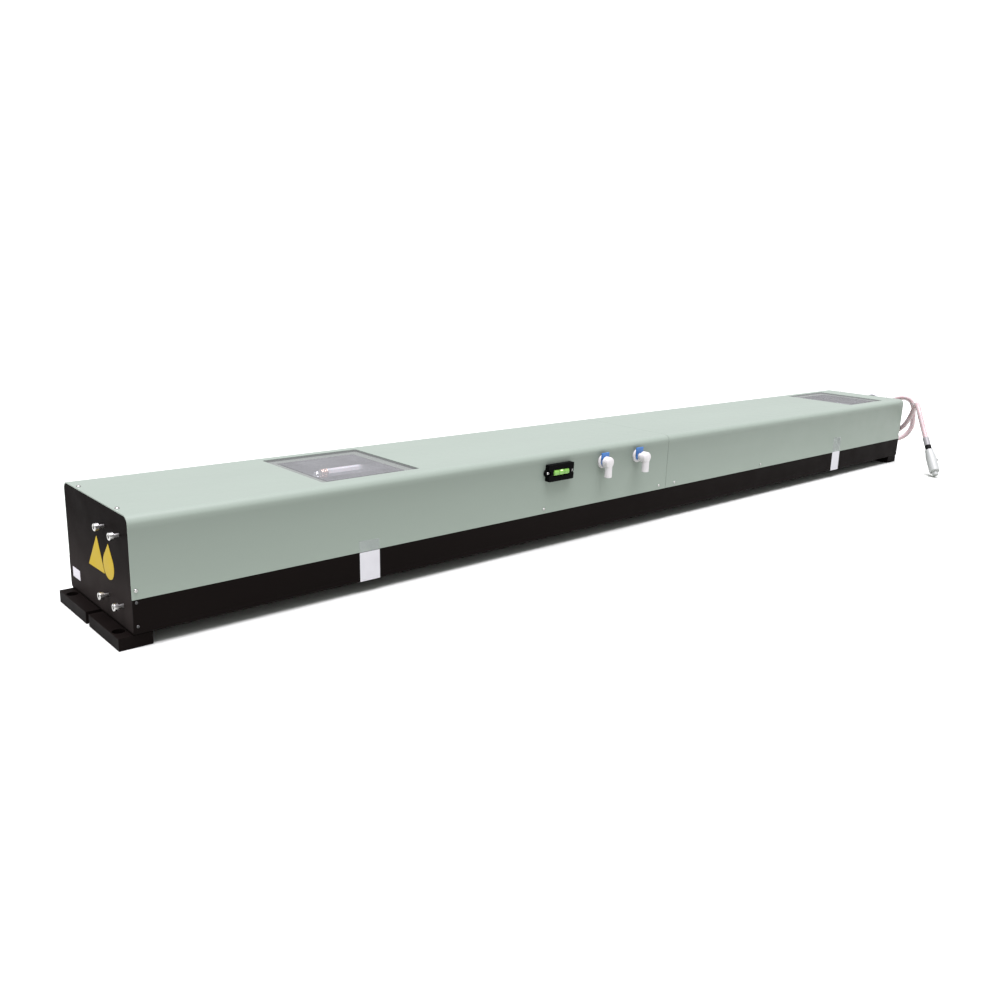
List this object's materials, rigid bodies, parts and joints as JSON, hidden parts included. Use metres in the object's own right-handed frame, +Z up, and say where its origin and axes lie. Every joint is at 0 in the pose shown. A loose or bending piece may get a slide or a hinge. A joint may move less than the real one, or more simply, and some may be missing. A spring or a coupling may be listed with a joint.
{
  "type": "co2 laser tube",
  "caption": "Folded-metal housing with twin glass gas laser tubes, inspection windows, water elbows, spirit level, mounting feet and high-voltage lead.",
  "frame": {"origin": "middle of the footprint of the housing, feet, fittings and gland, on the plane that the feet stand on", "axes": "+X from the front plate with the beam aperture to the rear plate, +Y from the side with the water fittings to the other side, +Z up"},
  "size_m": [1.9647, 0.3429, 0.1513],
  "materials": {
    "sage_powder_coat": "satin powder coat",
    "black_powder_coat": "satin powder coat",
    "black_anodised": "satin black anodised",
    "bright_steel": "bright",
    "machined_aluminium": "machined",
    "nickel": "nickel sheet",
    "borosilicate_glass": "clear, polished",
    "clear_acrylic": "clear, polished",
    "white_acetal": "satin moulding",
    "blue_acetal": "satin moulding",
    "black_moulding": "fine grain moulding",
    "green_vial": "clear green liquid behind plastic",
    "clear_silicone": "milky translucent",
    "grey_sleeve": "heat-shrink sleeve",
    "black_rubber": "matte",
    "lead_sheath": "milky translucent over a red core",
    "amber_mirror": "polished coated lens",
    "gold_mirror": "polished gold",
    "grey_pvc": "satin"
  },
  "bodies": {
    "root": {"base_channel": "black_powder_coat", "clip_in": "blue_acetal", "clip_out": "blue_acetal", "cover_front": "sage_powder_coat", "cover_rear": "sage_powder_coat", "elbow_in": "white_acetal", "elbow_out": "white_acetal", "electrode_far_front": "nickel", "electrode_far_rear": "nickel", "electrode_near_front": "nickel", "electrode_near_rear": "nickel", "fold_mirror_far": "gold_mirror", "fold_mirror_near": "gold_mirror", "folding_block": "machined_aluminium", "front_bracket": "machined_aluminium", "front_end_plate": "black_anodised", "front_foot": "black_powder_coat", "front_window_pane": "clear_acrylic", "front_window_rim": "sage_powder_coat", "grommet": "black_rubber", "hose_in": "clear_silicone", "hose_link": "clear_silicone", "hose_out": "clear_silicone", "hv_connector": "white_acetal", "hv_gland": "black_moulding", "hv_lead": "lead_sheath", "inner_elbow_in": "white_acetal", "inner_elbow_out": "white_acetal", "laser_tube_far": "borosilicate_glass", "laser_tube_near": "borosilicate_glass", "lead_sleeve_black": "black_rubber", "lead_sleeve_grey": "grey_sleeve", "level_body": "black_moulding", "level_vial": "green_vial", "output_mirror": "amber_mirror", "output_mirror_mount": "machined_aluminium", "plate_bolt_1": "bright_steel", "plate_bolt_2": "bright_steel", "plate_bolt_3": "bright_steel", "plate_bolt_4": "bright_steel", "rear_bracket": "machined_aluminium", "rear_end_plate": "black_anodised", "rear_foot": "black_powder_coat", "rear_mirror": "gold_mirror", "rear_mirror_mount": "machined_aluminium", "rear_window_pane": "clear_acrylic", "rear_window_rim": "sage_powder_coat", "return_lead": "grey_pvc", "return_terminal": "bright_steel", "saddle_front": "black_moulding", "saddle_middle": "black_moulding", "saddle_rear": "black_moulding", "strap_front": "bright_steel", "strap_middle": "bright_steel", "strap_rear": "bright_steel", "union_nut_in": "white_acetal", "union_nut_out": "white_acetal", "water_union_in": "white_acetal", "water_union_out": "white_acetal"}
  },
  "joints": []
}
